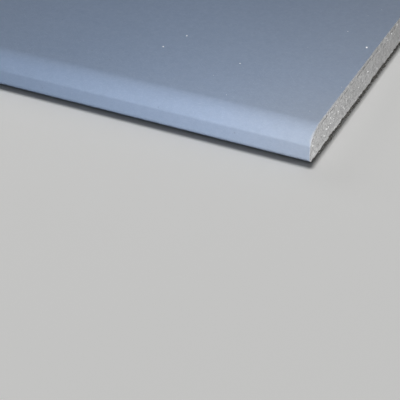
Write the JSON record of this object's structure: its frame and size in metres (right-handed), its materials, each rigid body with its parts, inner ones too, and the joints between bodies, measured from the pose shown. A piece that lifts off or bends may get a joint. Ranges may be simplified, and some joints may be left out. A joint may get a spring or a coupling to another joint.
{
  "type": "drywall sheet",
  "caption": "Flat drywall sheet with a gypsum core, blue face paper wrapped round half-round long edges, back paper and square cut ends.",
  "frame": {"origin": "middle of the back of the sheet, on the surface that the sheet lies on", "axes": "+X along the wrapped long edges, +Y across the width, +Z out of the face"},
  "size_m": [2.5, 1.2, 0.0125],
  "materials": {
    "gypsum": "matte",
    "face_paper": "matte",
    "back_paper": "matte"
  },
  "bodies": {
    "root": {"gypsum_core": "gypsum", "face_paper": "face_paper", "back_paper": "back_paper"}
  },
  "joints": []
}
